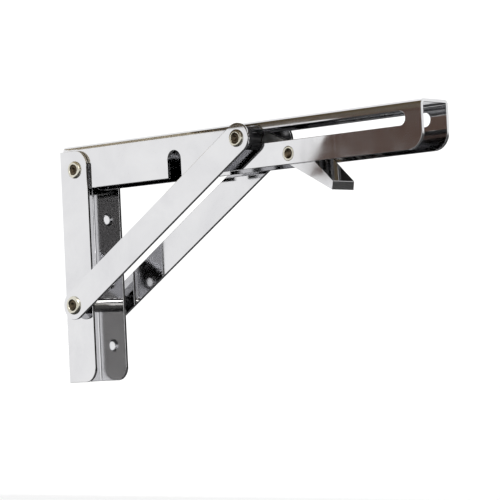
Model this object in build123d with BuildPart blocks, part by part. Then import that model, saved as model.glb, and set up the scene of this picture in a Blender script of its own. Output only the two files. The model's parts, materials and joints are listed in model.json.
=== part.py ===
"""Folding shelf bracket: a wall channel, a shelf arm that folds down, a two-bar brace and a sprung latch.

Frame: X stands out of the wall, whose face is X = 0; Y runs across the bracket; Z is up.
The origin is on the wall at the middle screw hole. Left is the -Y side. All sizes are in millimetres.
"""
from build123d import *
from math import asin, degrees, sqrt
import os

os.makedirs("parts", exist_ok=True)

# ---- driving dimensions ----
sheet = 2.0                  # steel sheet of the channels and the brace bars
bend = 1.0                   # inside radius of the folded corners
reach = 300.0                # wall face to the front end of the arm
arm_width = 25.4             # over the arm's flanges
arm_rise = 16.0              # top of the arm above the top pivot
arm_drop = 12.6              # bottom edge of the arm below the top pivot
arm_corner = 10.5            # front lower corner of the arm's flanges
pivot_out = 15.0             # both wall pivots stand this far out of the wall
pivot_spacing = 88.0         # top pivot to lower pivot
plate_depth = 26.0           # wall face to the front edge of the wall channel
plate_above = 12.5           # wall channel above the top pivot
plate_below = 50.0           # wall channel below the lower pivot
plate_foot = 9.0             # front lower corner of the wall channel
nest_gap = 0.3               # side gap between the arm and the wall channel
bar_gap = 4.0                # wall channel to brace bar
bar_end = 9.3                # radius of the rounded ends of the brace bars
slide_along = 149.2          # top pivot to the slide pin, shelf level
slot_rise = 6.0              # slot centre line above the top pivot
slot_height = 8.4
slot_spare = 4.5             # slot left in front of the slide pin when the arm hangs down
fit = 0.05                   # radial clearance of a hole on its pin
bush_fit = 0.1               # radial clearance of a slot bush in the slot
side_play = 0.15             # sideways play between parts that turn on each other
rest_gap = 0.3               # gap left where two moving parts would touch
pin_r = 3.0                  # shanks of all pivots
tube_r = 4.2                 # spacer tubes on the two wall pivots
notch_play = 1.6             # notch around the lower tube, each side
notch_drop = 1.0             # rounded end of the notch below the line of the pivots
top_head_r = 5.65
low_head_r = 6.0
slide_head_r = 5.35
latch_head_r = 4.4
head_t = 1.6                 # height of a rivet head
dish = 1.2                   # depth of the hollow in a rivet head
taper = 0.6                  # floor of the hollow, as a share of its mouth
rim_land = 0.4               # flat ring round the hollow
broken_edge = 0.6            # rounded-off part of a rivet head's side, as a share of its height
edge_knee = 0.3              # where the two flats of that broken edge meet, as a share of it
collar_r = 6.8               # nylon collars on the slide pivot
spacer_r = 5.6               # spacers between wall channel and brace bars
latch_ahead = 33.8           # latch rivet in front of the slide pin
latch_drop = 6.1             # latch rivet below the top pivot
latch_boss = 6.5             # rounded end of the latch plates round the rivet
hook_t = 5.0                 # thickness of the hook plate
hook_top = 16.0              # top of the hook above the latch rivet
hook_foot = 7.5              # lower end of the catch face above the latch rivet
hook_land = 1.0              # flat crest of the hook
ramp_run = 15.6              # length and fall of the ramp on top of the hook
ramp_fall = 7.0
hook_gap = 0.4               # each side of the hook, to the ends of the slide pin
seam = (0.1, 0.7)            # stretch of the lever's web that the hook is welded to, as shares of it
lever_gap = 0.7              # each side of the finger lever, to the arm's flanges
lever_t = 1.5
lip_top = (31.4, -19.0)      # front corner of the lever, from the latch rivet
lip_tip = (30.6, -24.2)      # lower end of the finger lip
web_start = (16.5, -4.5)     # inner end of the lever's sloping web
wire = 1.0                   # spring wire
wire_sides = 8               # the round wire is drawn with this many flats
coil_r = 4.9                 # mean radius of the spring coil
coil_turns = 3               # whole turns, besides the part turn to the second leg
leg_angle = 61.0             # where the second leg leaves the coil
leg_length = 18.5
sleeve_r = 3.9               # sleeves on the latch rivet
wall_hole_r = 2.75           # wall screw clearance
wall_sink_r = 4.0            # rim of its countersink
wall_pitch = 42.0
wall_first = 31.0            # top wall screw below the top pivot
shelf_hole_r = 2.5           # holes for the shelf screws in the arm's web
shelf_pitch = 100.0
shelf_first = 60.0           # first shelf screw from the wall
holes = 3                    # screws in each row

# ---- places that follow from them ----
top_z = wall_pitch + wall_first
low_z = top_z - pivot_spacing
arm_top = top_z + arm_rise
arm_bottom = top_z - arm_drop
arm_back = pivot_out - arm_drop
plate_width = arm_width + 2 * (nest_gap + sheet)
bar_inner = plate_width / 2 + bar_gap
bar_outer = bar_inner + sheet
slot_z = top_z + slot_rise
slide_x = pivot_out + slide_along
bar_length = sqrt(slide_along ** 2 + (pivot_spacing + slot_rise) ** 2)
slide_folded = pivot_spacing + sqrt(bar_length ** 2 - slot_rise ** 2)
slide_travel = slide_folded - slide_along
bar_angle = degrees(asin((pivot_spacing + slot_rise) / bar_length))
bar_swing = bar_angle + 90 - degrees(asin(slot_rise / bar_length))
bush_r = slot_height / 2 - bush_fit
notch_r = tube_r + notch_play
latch_x = slide_x + latch_ahead
latch_z = top_z - latch_drop
pin_from_latch = sqrt(latch_ahead ** 2 + (latch_drop + slot_rise) ** 2)
catch_r = pin_from_latch - bush_r - rest_gap
lever_width = arm_width - 2 * (sheet + lever_gap)
cheek_inner = lever_width / 2 - lever_t
print("brace angle", round(bar_angle, 3), "swing", round(bar_swing, 3), "slide travel", round(slide_travel, 3))

SIDES = (("left", -1), ("right", 1))


def save(part, name):
    """Name a finished piece and write it as a STEP file."""
    part.label = name
    export_step(part, f"parts/{name}.step")


def channel_section(width, depth):
    """Section of a channel with its web on y and its flanges along x."""
    half = width / 2
    inner = half - sheet
    with BuildLine() as section:
        FilletPolyline((depth, half), (0, half), (0, -half), (depth, -half), radius=bend + sheet)
        Line((depth, -half), (depth, -inner))
        FilletPolyline((depth, -inner), (sheet, -inner), (sheet, inner), (depth, inner), radius=bend)
        Line((depth, inner), (depth, half))
    return section.edges()


def radial(x, z, side=1):
    """Plane through a pivot's axis: radius along x, distance from the centre plane along y."""
    return Plane(origin=(x, 0, z), x_dir=(1, 0, 0), z_dir=(0, 0, side))


def turn(x, z):
    """Axis of a pivot, straight across the bracket."""
    return Axis((x, 0, z), (0, 1, 0))


def rivet_section(base, grip, head_r):
    """Half section of a rivet: a shank from base to grip, then a head with a broken edge and a tapered hollow."""
    edge = head_t * broken_edge
    knee = edge * edge_knee
    rim = head_r - edge - rim_land
    top = grip + head_t
    with BuildLine() as section:
        Polyline(
            (rim, top), (rim * taper, top - dish), (0, top - dish), (0, base), (pin_r, base), (pin_r, grip),
            (head_r, grip), (head_r, top - edge), (head_r - knee, top - knee), (head_r - edge, top),
            close=True,
        )
    return section.edges()


def through_rivet(x, z, grip, head_r, name):
    """Rivet across the bracket with the same head on both sides."""
    with BuildPart() as rivet:
        for _, side in SIDES:
            with BuildSketch(radial(x, z, side)):
                make_face(rivet_section(0, grip, head_r))
            revolve(axis=turn(x, z))
    save(rivet.part, name)


def tube(x, z, start, end, outer_r, bore_r, name, side=1):
    """Ring round a pivot between two distances from the centre plane."""
    with BuildPart() as ring:
        with BuildSketch(Plane(origin=(x, side * start, z), z_dir=(0, side, 0))):
            Circle(outer_r)
            if bore_r:
                Circle(bore_r, mode=Mode.SUBTRACT)
        extrude(amount=end - start)
    save(ring.part, name)


# ---- wall channel: back plate and two flanges with the two pivot holes ----
with BuildPart() as wall_plate:
    with BuildSketch(Plane.XY.offset(low_z - plate_below)):
        make_face(channel_section(plate_width, plate_depth))
    extrude(amount=plate_below + pivot_spacing + plate_above)
    front = wall_plate.edges().filter_by(Axis.Y).group_by(Axis.X)[-1]
    fillet(front.group_by(Axis.Z)[-1], radius=plate_depth - pivot_out)
    fillet(front.group_by(Axis.Z)[0], radius=plate_foot)
    with BuildSketch(Plane.XZ):
        with Locations((pivot_out, top_z), (pivot_out, low_z)):
            Circle(pin_r + fit)
    extrude(amount=plate_width, both=True, mode=Mode.SUBTRACT)
    for i in range(holes):
        with Locations(Plane(origin=(sheet, 0, (i - 1) * wall_pitch), z_dir=(1, 0, 0))):
            CounterSinkHole(wall_hole_r, wall_sink_r, depth=2 * sheet, counter_sink_angle=90)
save(wall_plate.part, "wall_plate")

# ---- shelf arm: a channel turned over, its web under the shelf and its flanges hanging down ----
with BuildPart() as shelf_arm:
    with BuildSketch(Plane(origin=(arm_back, 0, arm_top), x_dir=(0, 0, -1), z_dir=(1, 0, 0))):
        make_face(channel_section(arm_width, arm_rise + arm_drop))
    extrude(amount=reach - arm_back)
    low_edges = shelf_arm.edges().filter_by(Axis.Y).group_by(Axis.Z)[0]
    fillet(low_edges.group_by(Axis.X)[0], radius=arm_drop)
    fillet(low_edges.group_by(Axis.X)[-1], radius=arm_corner)
    with BuildSketch(Plane.XZ):
        with Locations((pivot_out, top_z)):
            Circle(pin_r + fit)
    extrude(amount=arm_width, both=True, mode=Mode.SUBTRACT)
    # slot for the slide pivot, a little longer than its travel
    with BuildSketch(Plane.XZ):
        run = slide_travel + rest_gap + slot_spare
        with Locations((slide_x - rest_gap + run / 2, slot_z)):
            SlotCenterToCenter(run, slot_height)
    extrude(amount=arm_width, both=True, mode=Mode.SUBTRACT)
    # notch that takes the lower pivot when the arm hangs down
    with BuildSketch(Plane.XZ):
        notch_top = top_z - notch_drop
        with Locations((pivot_out + pivot_spacing, notch_top)):
            Circle(notch_r)
            Rectangle(2 * notch_r, notch_top - arm_bottom, align=(Align.CENTER, Align.MAX))
    extrude(amount=arm_width, both=True, mode=Mode.SUBTRACT)
    # countersunk holes for the latch rivet
    cone = latch_head_r - pin_r
    for _, side in SIDES:
        with BuildSketch(radial(latch_x, latch_z, side)):
            Polygon(
                (0, 0), (pin_r + fit, 0), (pin_r + fit, arm_width / 2 - cone), (latch_head_r + fit, arm_width / 2),
                (0, arm_width / 2), align=None,
            )
        revolve(axis=turn(latch_x, latch_z), mode=Mode.SUBTRACT)
    with BuildSketch(Plane.XY.offset(arm_top)):
        for i in range(holes):
            with Locations((shelf_first + i * shelf_pitch, 0)):
                Circle(shelf_hole_r)
    extrude(amount=-2 * sheet, mode=Mode.SUBTRACT)
save(shelf_arm.part, "shelf_arm")

# ---- brace: two flat bars outside both channels ----
for word, side in SIDES:
    with BuildPart() as brace_bar:
        with BuildSketch(Plane(origin=(0, side * bar_inner, 0), x_dir=(1, 0, 0), z_dir=(0, -1, 0))):
            middle = ((pivot_out + slide_x) / 2, (low_z + slot_z) / 2)
            with Locations(Location((*middle, 0), (0, 0, bar_angle))):
                SlotCenterToCenter(bar_length, 2 * bar_end)
            with Locations((pivot_out, low_z), (slide_x, slot_z)):
                Circle(pin_r + fit, mode=Mode.SUBTRACT)
        extrude(amount=-side * sheet)
    save(brace_bar.part, f"brace_bar_{word}")

# ---- pivots on the wall channel ----
through_rivet(pivot_out, top_z, plate_width / 2, top_head_r, "top_pivot_rivet")
through_rivet(pivot_out, low_z, bar_outer, low_head_r, "lower_pivot_rivet")
for x, z, half, name in (
    (pivot_out, top_z, arm_width / 2 - sheet - side_play, "top_pivot_tube"),
    (pivot_out, low_z, plate_width / 2 - sheet, "lower_pivot_tube"),
):
    tube(x, z, -half, half, tube_r, pin_r + fit, name)
for word, side in SIDES:
    tube(
        pivot_out, low_z, plate_width / 2, bar_inner - side_play, spacer_r, pin_r + fit,
        f"lower_spacer_{word}", side,
    )

# ---- slide pivot: rivets and collars turn with the brace, bushes and pins ride in the slots ----
slide_start = arm_width / 2 + rest_gap
bush_start = hook_t / 2 + hook_gap
for word, side in SIDES:
    with BuildPart() as slide_rivet:
        with BuildSketch(radial(slide_x, slot_z, side)):
            make_face(rivet_section(slide_start, bar_outer, slide_head_r))
        revolve(axis=turn(slide_x, slot_z))
    save(slide_rivet.part, f"slide_rivet_{word}")
    tube(
        slide_x, slot_z, slide_start, bar_inner, collar_r, pin_r + fit, f"slide_collar_{word}", side
    )
    tube(slide_x, slot_z, bush_start, arm_width / 2, bush_r, pin_r + fit, f"slot_bush_{word}", side)
    tube(slide_x, slot_z, bush_start, arm_width / 2, pin_r, 0, f"slide_pin_{word}", side)

# ---- latch rivet: flush ends in the arm's flanges ----
with BuildPart() as latch_rivet:
    flush = arm_width / 2
    rim = latch_head_r - rim_land
    for _, side in SIDES:
        with BuildSketch(radial(latch_x, latch_z, side)):
            Polygon(
                (0, 0), (pin_r, 0), (pin_r, flush - cone), (latch_head_r, flush), (rim, flush),
                (rim * taper, flush - dish), (0, flush - dish), align=None,
            )
        revolve(axis=turn(latch_x, latch_z))
save(latch_rivet.part, "latch_rivet")

# ---- latch: hook plate in the middle, finger lever round it ----
latch_plane = Plane(origin=(latch_x, 0, latch_z), x_dir=(1, 0, 0), z_dir=(0, -1, 0))
start = Vector(*web_start)
corner = Vector(*lip_top)
tip = Vector(*lip_tip)
along_web = (corner - start).normalized()
into_web = Vector(along_web.Y, -along_web.X)
along_lip = (tip - corner).normalized()
into_lip = Vector(along_lip.Y, -along_lip.X)
web_inner = start + into_web * lever_t
web_run = (corner - start).length

with BuildPart() as latch_lever:
    with BuildSketch(latch_plane):
        Circle(latch_boss)
        Polygon(web_start, lip_top, lip_tip, align=None)
        make_hull()
    extrude(amount=lever_width / 2, both=True)
    # open the back of the folded lever, leaving the cheeks, the web and the lip
    denominator = along_web.X * along_lip.Y - along_web.Y * along_lip.X
    shift = corner + into_lip * lever_t - web_inner
    reach_in = (shift.X * along_lip.Y - shift.Y * along_lip.X) / denominator
    inner_corner = web_inner + along_web * reach_in
    inner_tip = inner_corner + along_lip * web_run
    above = start - into_web * web_run
    with BuildSketch(latch_plane):
        Polygon(
            (above.X, above.Y), (web_inner.X, web_inner.Y), (inner_corner.X, inner_corner.Y),
            (inner_tip.X, inner_tip.Y), (-2 * web_run, -2 * web_run), (-2 * web_run, above.Y), align=None,
        )
    extrude(amount=cheek_inner, both=True, mode=Mode.SUBTRACT)
    with BuildSketch(latch_plane):
        Circle(pin_r + fit)
    extrude(amount=lever_width, both=True, mode=Mode.SUBTRACT)
save(latch_lever.part, "latch_lever")

with BuildPart() as latch_hook:
    foot = (-sqrt(catch_r ** 2 - hook_foot ** 2), hook_foot)
    crest = (-sqrt(catch_r ** 2 - hook_top ** 2), hook_top)
    middle_z = (hook_foot + hook_top) / 2
    land = (crest[0] + hook_land, hook_top)
    ramp_end = (land[0] + ramp_run, hook_top - ramp_fall)
    first, last = (web_inner + along_web * web_run * share for share in seam)
    with BuildSketch(latch_plane):
        with BuildLine():
            ThreePointArc(foot, (-sqrt(catch_r ** 2 - middle_z ** 2), middle_z), crest)
            Polyline(
                crest, land, ramp_end, (0, latch_boss), (first.X, first.Y), (last.X, last.Y), (0, -latch_boss), foot
            )
        make_face()
        Circle(latch_boss)
        Circle(pin_r + fit, mode=Mode.SUBTRACT)
    extrude(amount=hook_t / 2, both=True)
save(latch_hook.part, "latch_hook")

for word, side in SIDES:
    tube(latch_x, latch_z, hook_t / 2, cheek_inner, sleeve_r, pin_r + fit, f"latch_sleeve_{word}", side)

# ---- torsion spring round the right sleeve: one leg up to the arm's web, one on the lever ----
coil_start = hook_t / 2 + wire / 2 + hook_gap
coil_end = cheek_inner - wire / 2 - 2 * hook_gap
turns = coil_turns + 1 - leg_angle / 360
coil_plane = Plane(origin=(latch_x, coil_start, latch_z), x_dir=(1, 0, 0), z_dir=(0, 1, 0))
coil = coil_plane.location * Helix((coil_end - coil_start) / turns, coil_end - coil_start, coil_r)
with BuildPart() as latch_spring:
    with BuildSketch(Plane(origin=coil @ 0, z_dir=coil % 0)):
        RegularPolygon(wire / 2, wire_sides)
    sweep(path=coil)
    for end, away, length in (
        (coil @ 0, -(coil % 0), arm_rise - sheet + latch_drop - rest_gap),
        (coil @ 1, coil % 1, leg_length),
    ):
        with BuildSketch(Plane(origin=end, z_dir=away)):
            RegularPolygon(wire / 2, wire_sides)
        extrude(amount=length)
save(latch_spring.part, "latch_spring")
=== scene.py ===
# %% [markdown]
# # A folding shelf bracket of mirror-polished steel
# The bracket has a channel on the wall, an arm that carries the shelf, two flat brace bars and a
# finger latch. Its shapes come ready from the frame, in metres: X stands out of the wall, Y runs
# across the bracket and Z is up. What is left to do here is the finish of each part: polished
# sheet, rolled rivet ends, black nylon, and the studio that the polished steel mirrors.

# %% Load the frame
import bpy
import bmesh
import json
from math import cos, pi, radians, sin
from mathutils import Matrix, Vector
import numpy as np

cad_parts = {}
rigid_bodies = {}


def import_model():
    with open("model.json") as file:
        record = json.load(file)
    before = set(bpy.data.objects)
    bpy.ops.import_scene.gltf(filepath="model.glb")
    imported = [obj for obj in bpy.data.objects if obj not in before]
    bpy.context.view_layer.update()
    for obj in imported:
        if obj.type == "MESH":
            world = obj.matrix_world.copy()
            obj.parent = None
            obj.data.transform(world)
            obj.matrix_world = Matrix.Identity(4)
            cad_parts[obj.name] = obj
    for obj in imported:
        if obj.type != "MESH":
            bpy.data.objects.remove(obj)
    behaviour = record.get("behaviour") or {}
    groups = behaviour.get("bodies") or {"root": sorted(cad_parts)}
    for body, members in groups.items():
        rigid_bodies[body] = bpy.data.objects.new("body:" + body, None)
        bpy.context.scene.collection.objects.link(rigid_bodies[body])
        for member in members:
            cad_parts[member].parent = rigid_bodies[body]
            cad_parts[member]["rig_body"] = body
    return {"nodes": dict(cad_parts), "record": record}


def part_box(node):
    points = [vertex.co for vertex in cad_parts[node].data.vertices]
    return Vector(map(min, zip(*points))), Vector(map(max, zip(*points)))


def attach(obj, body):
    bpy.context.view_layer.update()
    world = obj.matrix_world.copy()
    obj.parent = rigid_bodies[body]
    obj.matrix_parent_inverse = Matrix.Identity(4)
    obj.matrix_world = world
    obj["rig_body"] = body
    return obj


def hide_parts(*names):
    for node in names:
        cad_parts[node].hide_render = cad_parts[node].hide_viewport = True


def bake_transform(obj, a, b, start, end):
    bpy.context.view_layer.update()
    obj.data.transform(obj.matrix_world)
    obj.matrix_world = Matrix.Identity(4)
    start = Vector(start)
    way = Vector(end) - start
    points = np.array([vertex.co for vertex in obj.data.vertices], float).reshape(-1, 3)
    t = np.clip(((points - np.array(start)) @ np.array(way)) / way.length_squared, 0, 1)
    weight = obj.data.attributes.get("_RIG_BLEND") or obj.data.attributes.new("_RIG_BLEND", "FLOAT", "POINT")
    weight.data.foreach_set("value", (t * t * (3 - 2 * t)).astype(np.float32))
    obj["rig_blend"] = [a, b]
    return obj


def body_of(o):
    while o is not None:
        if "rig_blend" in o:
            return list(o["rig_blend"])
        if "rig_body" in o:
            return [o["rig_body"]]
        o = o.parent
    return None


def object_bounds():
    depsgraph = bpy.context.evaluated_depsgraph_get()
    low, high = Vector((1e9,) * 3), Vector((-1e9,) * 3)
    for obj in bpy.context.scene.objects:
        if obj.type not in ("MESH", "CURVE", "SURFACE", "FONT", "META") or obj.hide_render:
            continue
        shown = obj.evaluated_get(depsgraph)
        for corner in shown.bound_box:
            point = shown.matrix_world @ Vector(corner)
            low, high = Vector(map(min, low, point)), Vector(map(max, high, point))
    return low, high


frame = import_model()
nodes = frame["nodes"]
joints = {joint["name"]: joint for joint in frame["record"]["behaviour"]["joints"]}
slot_of = {part["node"]: part["material_slot"] for part in frame["record"]["subparts"]}
MM = 0.001
cad_low, cad_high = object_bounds()
print("frame:", len(nodes), "parts, box", [round(v, 4) for v in (*cad_low, *cad_high)])

# %% [markdown]
# ## Node groups that several finishes share
# Polished sheet is never perfect: it has a faint cloudiness from the polishing wheel, hair-fine
# marks from handling, and the surface is not quite flat. One group makes the haze and the marks as
# a mask, and each material decides how strongly they change its roughness and its colour.

# %% Small helpers for shader trees


def add(tree, kind, **settings):
    """A new node with some of its properties set."""
    node = tree.nodes.new(kind)
    for name, value in settings.items():
        setattr(node, name, value)
    return node


def fill(node, **values):
    """Set a node's inputs by name; an underscore stands for a space."""
    for name, value in values.items():
        node.inputs[name.replace("_", " ")].default_value = value
    return node


def new_group(name, inputs, outputs):
    """An empty node group with float inputs and the outputs that are named, float or colour."""
    group = bpy.data.node_groups.new(name, "ShaderNodeTree")
    for socket, value in inputs.items():
        made = group.interface.new_socket(socket, in_out="INPUT", socket_type="NodeSocketFloat")
        made.default_value = value
    for socket, kind in outputs.items():
        group.interface.new_socket(socket, in_out="OUTPUT", socket_type="NodeSocket" + kind)
    return group, group.nodes.new("NodeGroupInput"), group.nodes.new("NodeGroupOutput")


def one_over(group, length):
    """The noise scale that gives features of this length, from a socket that holds the length."""
    divide = add(group, "ShaderNodeMath", operation="DIVIDE")
    divide.inputs[0].default_value = 1.0
    group.links.new(length, divide.inputs[1])
    return divide.outputs[0]


# %% Polishing haze and handling marks
def make_wear_group():
    """Haze: soft clouds. Marks: hair-fine lines in two directions. Both run from 0 to 1."""
    group, given, result = new_group(
        "polish_wear",
        {"Cloud Size": 0.03, "Mark Size": 0.0022},
        {"Haze": "Float", "Marks": "Float"},
    )
    link = group.links.new
    place = add(group, "ShaderNodeTexCoord")
    cloud_scale = one_over(group, given.outputs["Cloud Size"])
    mark_scale = one_over(group, given.outputs["Mark Size"])
    clouds = fill(add(group, "ShaderNodeTexNoise"), Detail=5.0, Roughness=0.62, Distortion=0.4)
    link(place.outputs["Object"], clouds.inputs["Vector"])
    link(cloud_scale, clouds.inputs["Scale"])
    spread = fill(add(group, "ShaderNodeMapRange"), From_Min=0.35, From_Max=0.68)
    link(clouds.outputs["Fac"], spread.inputs["Value"])
    link(spread.outputs["Result"], result.inputs["Haze"])
    lines = []
    for turn, stretch in ((12, (0.05, 1.0, 1.0)), (-38, (1.0, 1.0, 0.06))):
        map_lines = add(group, "ShaderNodeMapping")
        map_lines.inputs["Rotation"].default_value = [radians(turn)] * 3
        map_lines.inputs["Scale"].default_value = stretch
        noise = fill(add(group, "ShaderNodeTexNoise"), Detail=3.0, Roughness=0.5)
        link(place.outputs["Object"], map_lines.inputs["Vector"])
        link(map_lines.outputs["Vector"], noise.inputs["Vector"])
        link(mark_scale, noise.inputs["Scale"])
        thin = fill(add(group, "ShaderNodeMapRange"), From_Min=0.62, From_Max=0.76)
        link(noise.outputs["Fac"], thin.inputs["Value"])
        lines.append(thin)
    both = add(group, "ShaderNodeMath", operation="MAXIMUM")
    link(lines[0].outputs["Result"], both.inputs[0])
    link(lines[1].outputs["Result"], both.inputs[1])
    link(both.outputs[0], result.inputs["Marks"])
    return group


wear_group = make_wear_group()


# %% Waviness of a polished face
def make_wave_group():
    """Normal of a face that isn't quite flat; Wave Size is the width of a swell, in metres."""
    group, given, result = new_group(
        "polish_wave", {"Wave Size": 0.026, "Strength": 0.03}, {"Normal": "Vector"}
    )
    link = group.links.new
    place = add(group, "ShaderNodeTexCoord")
    sway = fill(add(group, "ShaderNodeTexNoise"), Detail=1.0)
    link(place.outputs["Object"], sway.inputs["Vector"])
    link(one_over(group, given.outputs["Wave Size"]), sway.inputs["Scale"])
    bump = fill(add(group, "ShaderNodeBump"), Distance=MM)
    link(sway.outputs["Fac"], bump.inputs["Height"])
    link(given.outputs["Strength"], bump.inputs["Strength"])
    link(bump.outputs["Normal"], result.inputs["Normal"])
    return group


wave_group = make_wave_group()
print("groups:", wear_group.name, wave_group.name)

# %% [markdown]
# ## The finishes
# Every metal here is the same shader with other numbers: colour of the metal, how rough the polish
# is, how much the haze dulls it and how wavy the surface is. The waviness is a very low bump. It is
# what makes a mirrored edge wander a little, as it does in real polished sheet.

# %% Metals
def metal(name, color, shade, rough, haze, marks, wave, cloud_size=0.03):
    """Polished metal: colour, darker shade, roughness and the strength of haze, marks and waves."""
    material = bpy.data.materials.new(name)
    material.use_nodes = True
    tree = material.node_tree
    link = tree.links.new
    surface = fill(tree.nodes["Principled BSDF"], Metallic=1.0)
    wear = add(tree, "ShaderNodeGroup", node_tree=wear_group)
    fill(wear, Cloud_Size=cloud_size)
    tint = add(tree, "ShaderNodeMix", data_type="RGBA")
    tint.inputs["A"].default_value = (*color, 1)
    tint.inputs["B"].default_value = (*shade, 1)
    link(wear.outputs["Haze"], tint.inputs["Factor"])
    link(tint.outputs["Result"], surface.inputs["Base Color"])
    rough_haze = add(tree, "ShaderNodeMath", operation="MULTIPLY_ADD")
    link(wear.outputs["Haze"], rough_haze.inputs[0])
    rough_haze.inputs[1].default_value = haze
    rough_haze.inputs[2].default_value = rough
    rough_marks = add(tree, "ShaderNodeMath", operation="MULTIPLY_ADD")
    link(wear.outputs["Marks"], rough_marks.inputs[0])
    rough_marks.inputs[1].default_value = marks
    link(rough_haze.outputs[0], rough_marks.inputs[2])
    link(rough_marks.outputs[0], surface.inputs["Roughness"])
    sway = fill(add(tree, "ShaderNodeGroup", node_tree=wave_group), Strength=wave)
    link(sway.outputs["Normal"], surface.inputs["Normal"])
    return material


polished_sheet = metal(
    "polished_sheet", (0.70, 0.70, 0.71), (0.64, 0.64, 0.655),
    rough=0.035, haze=0.06, marks=0.015, wave=0.03,
)
satin_sheet = metal(
    "satin_sheet", (0.80, 0.80, 0.79), (0.70, 0.70, 0.69),
    rough=0.30, haze=0.10, marks=0.05, wave=0.03,
)
rivet_metal = metal(
    "rivet_metal", (0.66, 0.64, 0.56), (0.50, 0.47, 0.38),
    rough=0.12, haze=0.12, marks=0.10, wave=0.05, cloud_size=0.006,
)
# Near-black metal for the rivets' hollows: painted shade in the hollow.
painted_hollow_shade = metal(
    "painted_hollow_shade", (0.11, 0.085, 0.055), (0.035, 0.026, 0.016),
    rough=0.30, haze=0.20, marks=0.10, wave=0.05, cloud_size=0.004,
)
tube_metal = metal(
    "tube_metal", (0.66, 0.65, 0.63), (0.56, 0.55, 0.53),
    rough=0.10, haze=0.08, marks=0.08, wave=0.04, cloud_size=0.012,
)
# Near-black metal for the front edges of the wall channel: painted shade.
painted_shade_edge = metal(
    "painted_shade_edge", (0.06, 0.058, 0.055), (0.02, 0.02, 0.02),
    rough=0.25, haze=0.15, marks=0.10, wave=0.03, cloud_size=0.004,
)
spring_metal = metal(
    "spring_metal", (0.42, 0.41, 0.40), (0.30, 0.29, 0.28),
    rough=0.24, haze=0.12, marks=0.08, wave=0.04, cloud_size=0.008,
)

# %% [markdown]
# Moulded nylon is a black plastic with a fine, slightly uneven skin. The grain is a bump of small
# noise, and the roughness changes with it.

# %% Nylon
def make_nylon():
    """Black nylon with a fine grain."""
    material = bpy.data.materials.new("black_nylon")
    material.use_nodes = True
    tree = material.node_tree
    link = tree.links.new
    surface = fill(tree.nodes["Principled BSDF"], Specular_IOR_Level=0.45)
    place = add(tree, "ShaderNodeTexCoord")
    grain = fill(add(tree, "ShaderNodeTexNoise"), Scale=900.0, Detail=3.0)
    link(place.outputs["Object"], grain.inputs["Vector"])
    tint = add(tree, "ShaderNodeMix", data_type="RGBA")
    tint.inputs["A"].default_value = (0.008, 0.008, 0.009, 1)
    tint.inputs["B"].default_value = (0.022, 0.022, 0.024, 1)
    link(grain.outputs["Fac"], tint.inputs["Factor"])
    link(tint.outputs["Result"], surface.inputs["Base Color"])
    rough = fill(add(tree, "ShaderNodeMapRange"), To_Min=0.30, To_Max=0.46)
    link(grain.outputs["Fac"], rough.inputs["Value"])
    link(rough.outputs["Result"], surface.inputs["Roughness"])
    bump = fill(add(tree, "ShaderNodeBump"), Distance=0.0002, Strength=0.3)
    link(grain.outputs["Fac"], bump.inputs["Height"])
    link(bump.outputs["Normal"], surface.inputs["Normal"])
    return material


black_nylon = make_nylon()

# %% Put the finishes on the parts
FINISHES = {
    "polished_steel": polished_sheet,
    "rivet_steel": rivet_metal,
    "tube_steel": tube_metal,
    "black_nylon": black_nylon,
    "spring_steel": spring_metal,
}
for name, part in nodes.items():
    part.data.materials.clear()
    part.data.materials.append(FINISHES[slot_of[name]])
print("finished parts:", len(slot_of))

# %% [markdown]
# ## Broken edges on the sheet parts
# The press leaves a hard edge on sheet steel, and the polishing wheel rounds it by a fraction of a
# millimetre. That narrow round is what draws a bright line along every edge. A frame part can't be
# changed, so each sheet part gets a copy whose hard edges are bevelled. The flat faces are joined
# up first, because a bevel runs cleanly only along the true edges of a face. Each corner of a wide
# face then takes that face's own normal, so that the flats mirror like flats and only the narrow
# round between them shades softly. The front edges of the wall channel get a near-black metal, a
# painted line of shade. The hook is satin.

# %% Sheet parts with rounded edges
HARD_ANGLE = radians(40)
FLAT_ANGLE = radians(0.3)
FLAT_AREA = 3.0 * MM ** 2
SAME_PLACE = 0.001 * MM
FACES_FRONT = 0.95
SHEET_FINISH = {"latch_hook": satin_sheet}
EDGE_ROUND = {
    "wall_plate": 0.25 * MM,
    "shelf_arm": 0.25 * MM,
    "brace_bar_left": 0.25 * MM,
    "brace_bar_right": 0.25 * MM,
    "latch_lever": 0.2 * MM,
    "latch_hook": 0.2 * MM,
}


def stand_in(mesh, node, materials):
    """Put a mesh in place of a frame part: link it with these finishes and hide the part."""
    piece = bpy.data.objects.new(node + "_finished", mesh)
    for material in materials:
        mesh.materials.append(material)
    bpy.context.scene.collection.objects.link(piece)
    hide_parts(node)
    return piece


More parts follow.
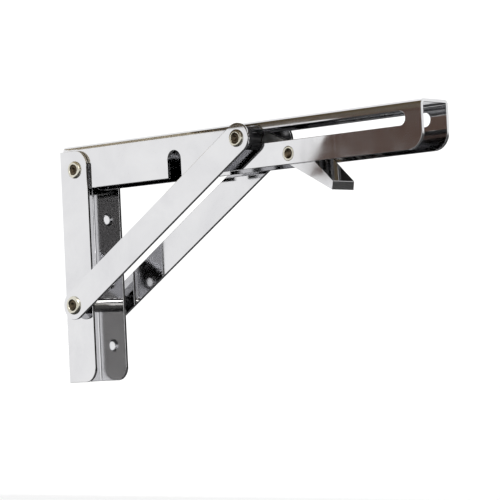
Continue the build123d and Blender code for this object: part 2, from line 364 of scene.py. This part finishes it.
def rounded_copy(node, width):
    """Copy of a sheet part with its hard edges rounded by this width."""
    form = bmesh.new()
    form.from_mesh(nodes[node].data)
    bmesh.ops.remove_doubles(form, verts=form.verts, dist=SAME_PLACE)
    bmesh.ops.dissolve_limit(form, angle_limit=FLAT_ANGLE, verts=form.verts, edges=form.edges)
    hard = [edge for edge in form.edges if edge.calc_face_angle(0) > HARD_ANGLE]
    bmesh.ops.bevel(
        form, geom=hard, affect="EDGES", offset=width, offset_type="OFFSET",
        segments=2, profile=0.5, clamp_overlap=False, loop_slide=False,
    )
    form.normal_update()
    front = max(vert.co.x for vert in form.verts)
    for face in form.faces:
        face.smooth = True
        at_front = face.normal.x > FACES_FRONT and face.calc_center_median().x > front - width
        # Faces at the wall channel's front take the second slot, the painted shade.
        face.material_index = int(node == "wall_plate" and at_front)
    flat_normals = {}
    for vert in form.verts:
        widest = max(vert.link_faces, key=lambda face: face.calc_area())
        source = widest if widest.calc_area() > FLAT_AREA else vert
        flat_normals[vert] = source.normal.copy()
    corner_normals = [
        face.normal.copy() if face.calc_area() > FLAT_AREA else flat_normals[loop.vert]
        for face in form.faces
        for loop in face.loops
    ]
    mesh = bpy.data.meshes.new(node + "_finished")
    form.to_mesh(mesh)
    form.free()
    for old in ("custom_normal", "sharp_edge", "sharp_face"):
        if mesh.attributes.get(old):
            mesh.attributes.remove(mesh.attributes[old])
    piece = stand_in(mesh, node, [SHEET_FINISH.get(node, polished_sheet), painted_shade_edge])
    mesh.normals_split_custom_set(corner_normals)
    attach(piece, body_of(nodes[node])[0])
    return piece


for node, width in EDGE_ROUND.items():
    piece = rounded_copy(node, width)
    print("rounded", node, len(piece.data.polygons), "faces")

# %% [markdown]
# ## Rolled rivets
# The end of a semi-tubular rivet is rolled over: a bright rounded ring with a dark hollow in it.
# Such a form is turned, so one half of its section is drawn as points of radius and distance along
# the axis, and spun round. The ring and the outside of the head are quarter arcs. Inside the ring a
# ledge rises a little towards the middle, where a narrow pit goes down. Ledge and pit get a duller,
# much darker metal: painted shade of the hollow.

# %% A turned piece
SPIN_STEPS = 48
ARC_STEPS = 6


def quarter(middle, across, along, start):
    """Points of a quarter ellipse, from the start angle back by 90 degrees, without its first."""
    angles = [radians(start - 90 * i / ARC_STEPS) for i in range(1, ARC_STEPS + 1)]
    return [(middle[0] + across * cos(a), middle[1] + along * sin(a)) for a in angles]


def turned_mesh(name, profile, x, z):
    """Spin a profile round the line across the bracket at x, z; a point is radius, y, finish."""
    form = bmesh.new()
    rings = []
    for radius, y, _ in profile:
        count = SPIN_STEPS if radius > 0 else 1
        turns = [2 * pi * i / SPIN_STEPS for i in range(count)]
        rings.append([form.verts.new((x + radius * cos(a), y, z + radius * sin(a))) for a in turns])
    for first, second, (_, _, finish) in zip(rings, rings[1:], profile):
        for i in range(SPIN_STEPS):
            corners = []
            for ring, step in ((first, i), (first, i + 1), (second, i + 1), (second, i)):
                corner = ring[step % len(ring)]
                if corner not in corners:
                    corners.append(corner)
            form.faces.new(corners).material_index = finish
    bmesh.ops.recalc_face_normals(form, faces=form.faces)
    for face in form.faces:
        face.smooth = True
    mesh = bpy.data.meshes.new(name)
    form.to_mesh(mesh)
    form.free()
    return mesh


# %% The rivets
# DARK marks the faces of a rivet's hollow, which take the painted shade.
BRIGHT, DARK = 0, 1
RIVET_FINISHES = [rivet_metal, painted_hollow_shade]
HEAD_HEIGHT = 1.6 * MM
DOME_HEIGHT = 0.8 * HEAD_HEIGHT
PIT_DEPTH = 1.25 * MM
PIT_DISH = 0.04 * MM
SHANK_R = 3.0 * MM
# Shares of the head's radius: the pit, the ring's highest line and the ring's inner round.
PIT, CREST, LIP = 0.22, 0.70, 0.13


def rolled_end(tip, head_r):
    """Half section of a rolled head, from its middle out to the shank; tip is its far end."""
    side = 1 if tip > 0 else -1
    height = abs(tip)
    pit, crest, lip = PIT * head_r, CREST * head_r, LIP * head_r
    dark = [(0.0, height - PIT_DEPTH), (pit, height - PIT_DEPTH + PIT_DISH)]
    dark += quarter((pit, height - lip), crest - lip - pit, PIT_DEPTH - lip - PIT_DISH, 90)
    bright = quarter((crest, height - lip), lip, lip, 180)
    bright += quarter((crest, height - DOME_HEIGHT), head_r - crest, DOME_HEIGHT, 90)
    bright += [(head_r, height - HEAD_HEIGHT), (SHANK_R, height - HEAD_HEIGHT)]
    return [(r, side * y, DARK) for r, y in dark] + [(r, side * y, BRIGHT) for r, y in bright]


def rivet(node):
    """A rivet in place of its frame part: rolled at each end that the part has a head on."""
    low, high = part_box(node)
    x, z = (low.x + high.x) / 2, (low.z + high.z) / 2
    head_r = (high.x - low.x) / 2
    if low.y < 0 < high.y:
        profile = rolled_end(low.y, head_r) + rolled_end(high.y, head_r)[::-1]
    else:
        tip, start = (high.y, low.y) if high.y > 0 else (low.y, high.y)
        profile = rolled_end(tip, head_r) + [(SHANK_R, start, BRIGHT), (0.0, start, BRIGHT)]
    piece = stand_in(turned_mesh(node + "_finished", profile, x, z), node, RIVET_FINISHES)
    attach(piece, body_of(nodes[node])[0])
    return piece


for node in ("top_pivot_rivet", "lower_pivot_rivet", "slide_rivet_left", "slide_rivet_right"):
    piece = rivet(node)
    print("rivet", node, len(piece.data.polygons), "faces")

# %% [markdown]
# The latch rivet is different: its ends are spread into countersunk holes and lie flush with the
# arm's flanges. It has an open hollow of the same depth, with a narrow flat ring round it.

# %% The flush latch rivet
# Each point is a share of the end's radius, the depth below the flange, and the finish.
# The DARK points are the hollow, in painted shade.
FLUSH_SECTION = (
    (0.0, PIT_DEPTH, DARK),
    (0.30, PIT_DEPTH, DARK),
    (0.62, 0.35 * MM, DARK),
    (0.70, 0.06 * MM, BRIGHT),
    (0.76, 0.0, BRIGHT),
    (0.94, 0.0, BRIGHT),
    (1.0, 0.12 * MM, BRIGHT),
)
low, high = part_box("latch_rivet")
flush_r = (high.x - low.x) / 2
far = [(share * flush_r, high.y - depth, finish) for share, depth, finish in FLUSH_SECTION]
far.append((SHANK_R, high.y - (flush_r - SHANK_R), BRIGHT))
near = [(r, -y, finish) for r, y, finish in far]
mesh = turned_mesh(
    "latch_rivet_finished", near + far[::-1], (low.x + high.x) / 2, (low.z + high.z) / 2
)
piece = stand_in(mesh, "latch_rivet", RIVET_FINISHES)
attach(piece, body_of(nodes["latch_rivet"])[0])
print("flush rivet", len(piece.data.polygons), "faces")

# %% [markdown]
# ## The latch spring
# A torsion spring sits round the latch rivet, beside the hook. One leg lies on the lever's web and
# moves with it. The other runs back inside the arm and ends in a short foot against the flange. The
# wire is a curve with a round section: a loop works out the turns, and the two legs leave the coil
# along its tangent. When the latch is pressed the spring winds up, so its near leg follows the
# latch, its far leg the arm, and the turns between them share the twist.

# %% Spring wire
pivot = Vector(joints["latch_release"]["pos_m"])
COIL_R = 4.9 * MM
WIRE_R = 0.5 * MM
COIL_NEAR = 3.4 * MM
COIL_FAR = 7.2 * MM
TURN_STEPS = 24
LEVER_LEG = 18.5 * MM
ARM_LEG = 13.0 * MM
FOOT_BEND = 1.3 * MM
BEND_STEPS = 5
FOOT_INSET = 2.05 * MM
FIRST_TURN = -90.0
LAST_TURN = 299.0 + 2 * 360.0


def coil_point(angle, y):
    """A point of the coil; the angle runs from the front downwards, in degrees."""
    a = radians(angle)
    return Vector((pivot.x + COIL_R * cos(a), y, pivot.z - COIL_R * sin(a)))


def along_coil(share):
    """A point of the coil at a share of its turns, from the arm's end to the latch's."""
    angle = FIRST_TURN + (LAST_TURN - FIRST_TURN) * share
    return coil_point(angle, COIL_FAR + (COIL_NEAR - COIL_FAR) * share)


def along_bend(corner, angle):
    """A point of the round bend between the foot and the arm's leg, in degrees."""
    a = radians(angle)
    return corner + Vector((FOOT_BEND * (1 - sin(a)), FOOT_BEND * (1 - cos(a)), 0))


arm_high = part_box("shelf_arm")[1]
steps = round(TURN_STEPS * (LAST_TURN - FIRST_TURN) / 360)
coil = [along_coil(i / steps) for i in range(steps + 1)]
leaving = radians(LAST_TURN)
lever_end = coil[-1] + Vector((-sin(leaving), 0, -cos(leaving))) * LEVER_LEG
corner = coil[0] - Vector((ARM_LEG, 0, 0))
bend = [along_bend(corner, 90 * i / BEND_STEPS) for i in reversed(range(BEND_STEPS + 1))]
foot = Vector((corner.x, arm_high.y - FOOT_INSET, corner.z))
route = [foot] + bend + coil + [lever_end]
wire = bpy.data.curves.new("spring_wire", "CURVE")
wire.dimensions = "3D"
wire.bevel_depth = WIRE_R
wire.bevel_resolution = 3
wire.use_fill_caps = True
line = wire.splines.new("POLY")
line.points.add(len(route) - 1)
for point, place in zip(line.points, route):
    point.co = (*place, 1)
drawn = bpy.data.objects.new("spring_wire", wire)
bpy.context.scene.collection.objects.link(drawn)
bpy.context.view_layer.update()
solid_wire = drawn.evaluated_get(bpy.context.evaluated_depsgraph_get())
spring_mesh = bpy.data.meshes.new_from_object(solid_wire)
bpy.data.objects.remove(drawn)
spring_mesh.materials.clear()
spring = stand_in(spring_mesh, "latch_spring", [spring_metal])
for face in spring.data.polygons:
    face.use_smooth = True
near_end = (pivot.x, COIL_NEAR + WIRE_R, pivot.z)
far_end = (pivot.x, COIL_FAR - WIRE_R, pivot.z)
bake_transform(spring, "latch", "arm", start=near_end, end=far_end)
print("spring", len(spring.data.polygons), "faces")

# %% [markdown]
# ## The studio
# Mirror-polished steel has hardly any look of its own: it shows what stands round it. The room is
# white, and coloured cards stand where a dark room, a shelf and its board would be. The steel
# mirrors the cards, and the camera, the shadows and the soft light don't see them.

# %% Floor
FLOOR_Z = -0.27


def flat_material(name, color, rough):
    """One plain colour."""
    material = bpy.data.materials.new(name)
    material.use_nodes = True
    fill(material.node_tree.nodes["Principled BSDF"], Base_Color=(*color, 1), Roughness=rough)
    return material


def plane_object(name, corners, material):
    """A flat sheet through four corners."""
    mesh = bpy.data.meshes.new(name)
    mesh.from_pydata(corners, [], [tuple(range(len(corners)))])
    mesh.materials.append(material)
    sheet = bpy.data.objects.new(name, mesh)
    bpy.context.scene.collection.objects.link(sheet)
    return sheet


def level_outline(low, high, z):
    """Corners of a level rectangle between two points, given as x and y."""
    return [(low[0], low[1], z), (high[0], low[1], z), (high[0], high[1], z), (low[0], high[1], z)]


REACH = 8.0
plane_object(
    "floor",
    level_outline((-REACH, -REACH), (REACH, REACH), FLOOR_Z),
    flat_material("floor_white", (0.93, 0.93, 0.93), 0.6),
)

# %% Cards that only the steel mirrors
BOARD_Z = arm_high.z + 1.2 * MM
BESIDE = arm_high.y + 0.5 * MM
PALE_END = 0.115
ROOM_X = 2.0
ROOM_NEAR, ROOM_FAR = 0.4, 2.04
ROOM_LOW, ROOM_SPLIT = -0.8, 0.07


def card(name, corners, color):
    """A card that shows in reflections only."""
    sheet = plane_object(name, corners, flat_material(name, color, 0.7))
    sheet.visible_camera = False
    sheet.visible_shadow = False
    sheet.visible_diffuse = False


def near_strip(name, back, front, back_width, front_width, color):
    """A strip of the board's underside beside the arm, on the near side, as wide as is said."""
    corners = [
        (back, -BESIDE, BOARD_Z),
        (front, -BESIDE, BOARD_Z),
        (front, -BESIDE - front_width, BOARD_Z),
        (back, -BESIDE - back_width, BOARD_Z),
    ]
    card(name, corners, color)


def upright_card(name, y, outline, color):
    """A card that faces across the bracket; its outline is in x and z."""
    card(name, [(x, y, z) for x, z in outline], color)


def room_card(name, outline, color):
    """A card across the end of the room; its outline is in y and z."""
    card(name, [(ROOM_X, y, z) for y, z in outline], color)


# The underside of a board: a narrow pale strip beside the back of the arm, a wider olive one beside
# the slot, and a dark one on the far side.
near_strip("board_pale", 0.0, PALE_END, 0.028, 0.034, (0.50, 0.43, 0.30))
near_strip("board_olive", PALE_END, 0.31, 0.045, 0.05, (0.13, 0.09, 0.04))
card(
    "board_dark",
    level_outline((0.0, BESIDE), (0.285, 0.30), BOARD_Z),
    (0.012, 0.009, 0.007),
)
# A brown piece of furniture on the near side, mirrored in the front of the arm.
upright_card(
    "near_brown",
    -0.6,
    [(-0.300, 0.110), (0.10, 0.110), (0.10, 0.176), (-0.245, 0.176)],
    (0.080, 0.042, 0.028),
)
# The end of the room, out in front of the wall. All that faces away from the wall mirrors it. It is
# grey low down, where the wall channel's inside looks, darker above, and darkest at the far side.
room_card(
    "room_grey",
    [(ROOM_NEAR, ROOM_LOW), (ROOM_FAR, ROOM_LOW), (ROOM_FAR, ROOM_SPLIT), (ROOM_NEAR, ROOM_SPLIT)],
    (0.45, 0.44, 0.42),
)
room_card(
    "room_dark",
    [
        (ROOM_NEAR, ROOM_SPLIT), (2.15, ROOM_SPLIT), (2.15, 0.262),
        (ROOM_FAR, 0.262), (ROOM_FAR, 1.2), (ROOM_NEAR, 1.2),
    ],
    (0.13, 0.125, 0.12),
)
room_card(
    "room_side",
    [(ROOM_FAR, ROOM_LOW), (2.6, ROOM_LOW), (2.6, ROOM_SPLIT), (ROOM_FAR, ROOM_SPLIT)],
    (0.015, 0.015, 0.015),
)
# A dark card at floor level, mirrored by the lower edges of the bars and up inside the arm: it paints shade
# there.
card(
    "painted_shade_floor",
    level_outline((-0.5, -0.8), (2.2, 2.4), FLOOR_Z + 8 * MM),
    (0.03, 0.03, 0.03),
)
# A low dark band behind the bracket, mirrored by the edges that face the floor.
upright_card(
    "band_dark",
    1.5,
    [(-2.6, -0.42), (-0.2, -0.42), (-0.2, 0.04), (-2.6, 0.04)],
    (0.02, 0.02, 0.02),
)

# %% World and lights
world = bpy.data.worlds.new("white_room")
bpy.context.scene.world = world
world.use_nodes = True
fill(world.node_tree.nodes["Background"], Color=(1, 1, 1, 1), Strength=1.12)


def soft_light(name, place, target, size, power):
    """A square soft box that looks at a point."""
    lamp = bpy.data.lights.new(name, "AREA")
    lamp.size = size
    lamp.energy = power
    box = bpy.data.objects.new(name, lamp)
    box.location = place
    box.rotation_euler = (Vector(target) - Vector(place)).to_track_quat("-Z", "Y").to_euler()
    bpy.context.scene.collection.objects.link(box)


centre = (cad_low + cad_high) / 2
soft_light("key", (0.7, -0.9, 0.9), centre, 0.8, 9)

# %% [markdown]
# ## The camera
# It looks along the shelf from a little below, with a long lens, so that the far side of each part
# shows just past the near one.

# %% Camera
lens = bpy.data.cameras.new("camera")
lens.lens = 165
lens.sensor_width = 36
camera = bpy.data.objects.new("camera", lens)
bpy.context.scene.collection.objects.link(camera)
bpy.context.scene.camera = camera
CAMERA_PLACE = Vector((1.098, -1.039, -0.049))
AIM = Vector((0.152, 0.0, 0.012))
LEAN = Vector((0.0800, -0.0168, 0.9967))
back = (CAMERA_PLACE - AIM).normalized()
right = LEAN.cross(back).normalized()
up = back.cross(right)
turn = Matrix((right, up, back)).transposed().to_4x4()
camera.matrix_world = Matrix.Translation(CAMERA_PLACE) @ turn
bpy.context.scene.view_settings.view_transform = "Standard"
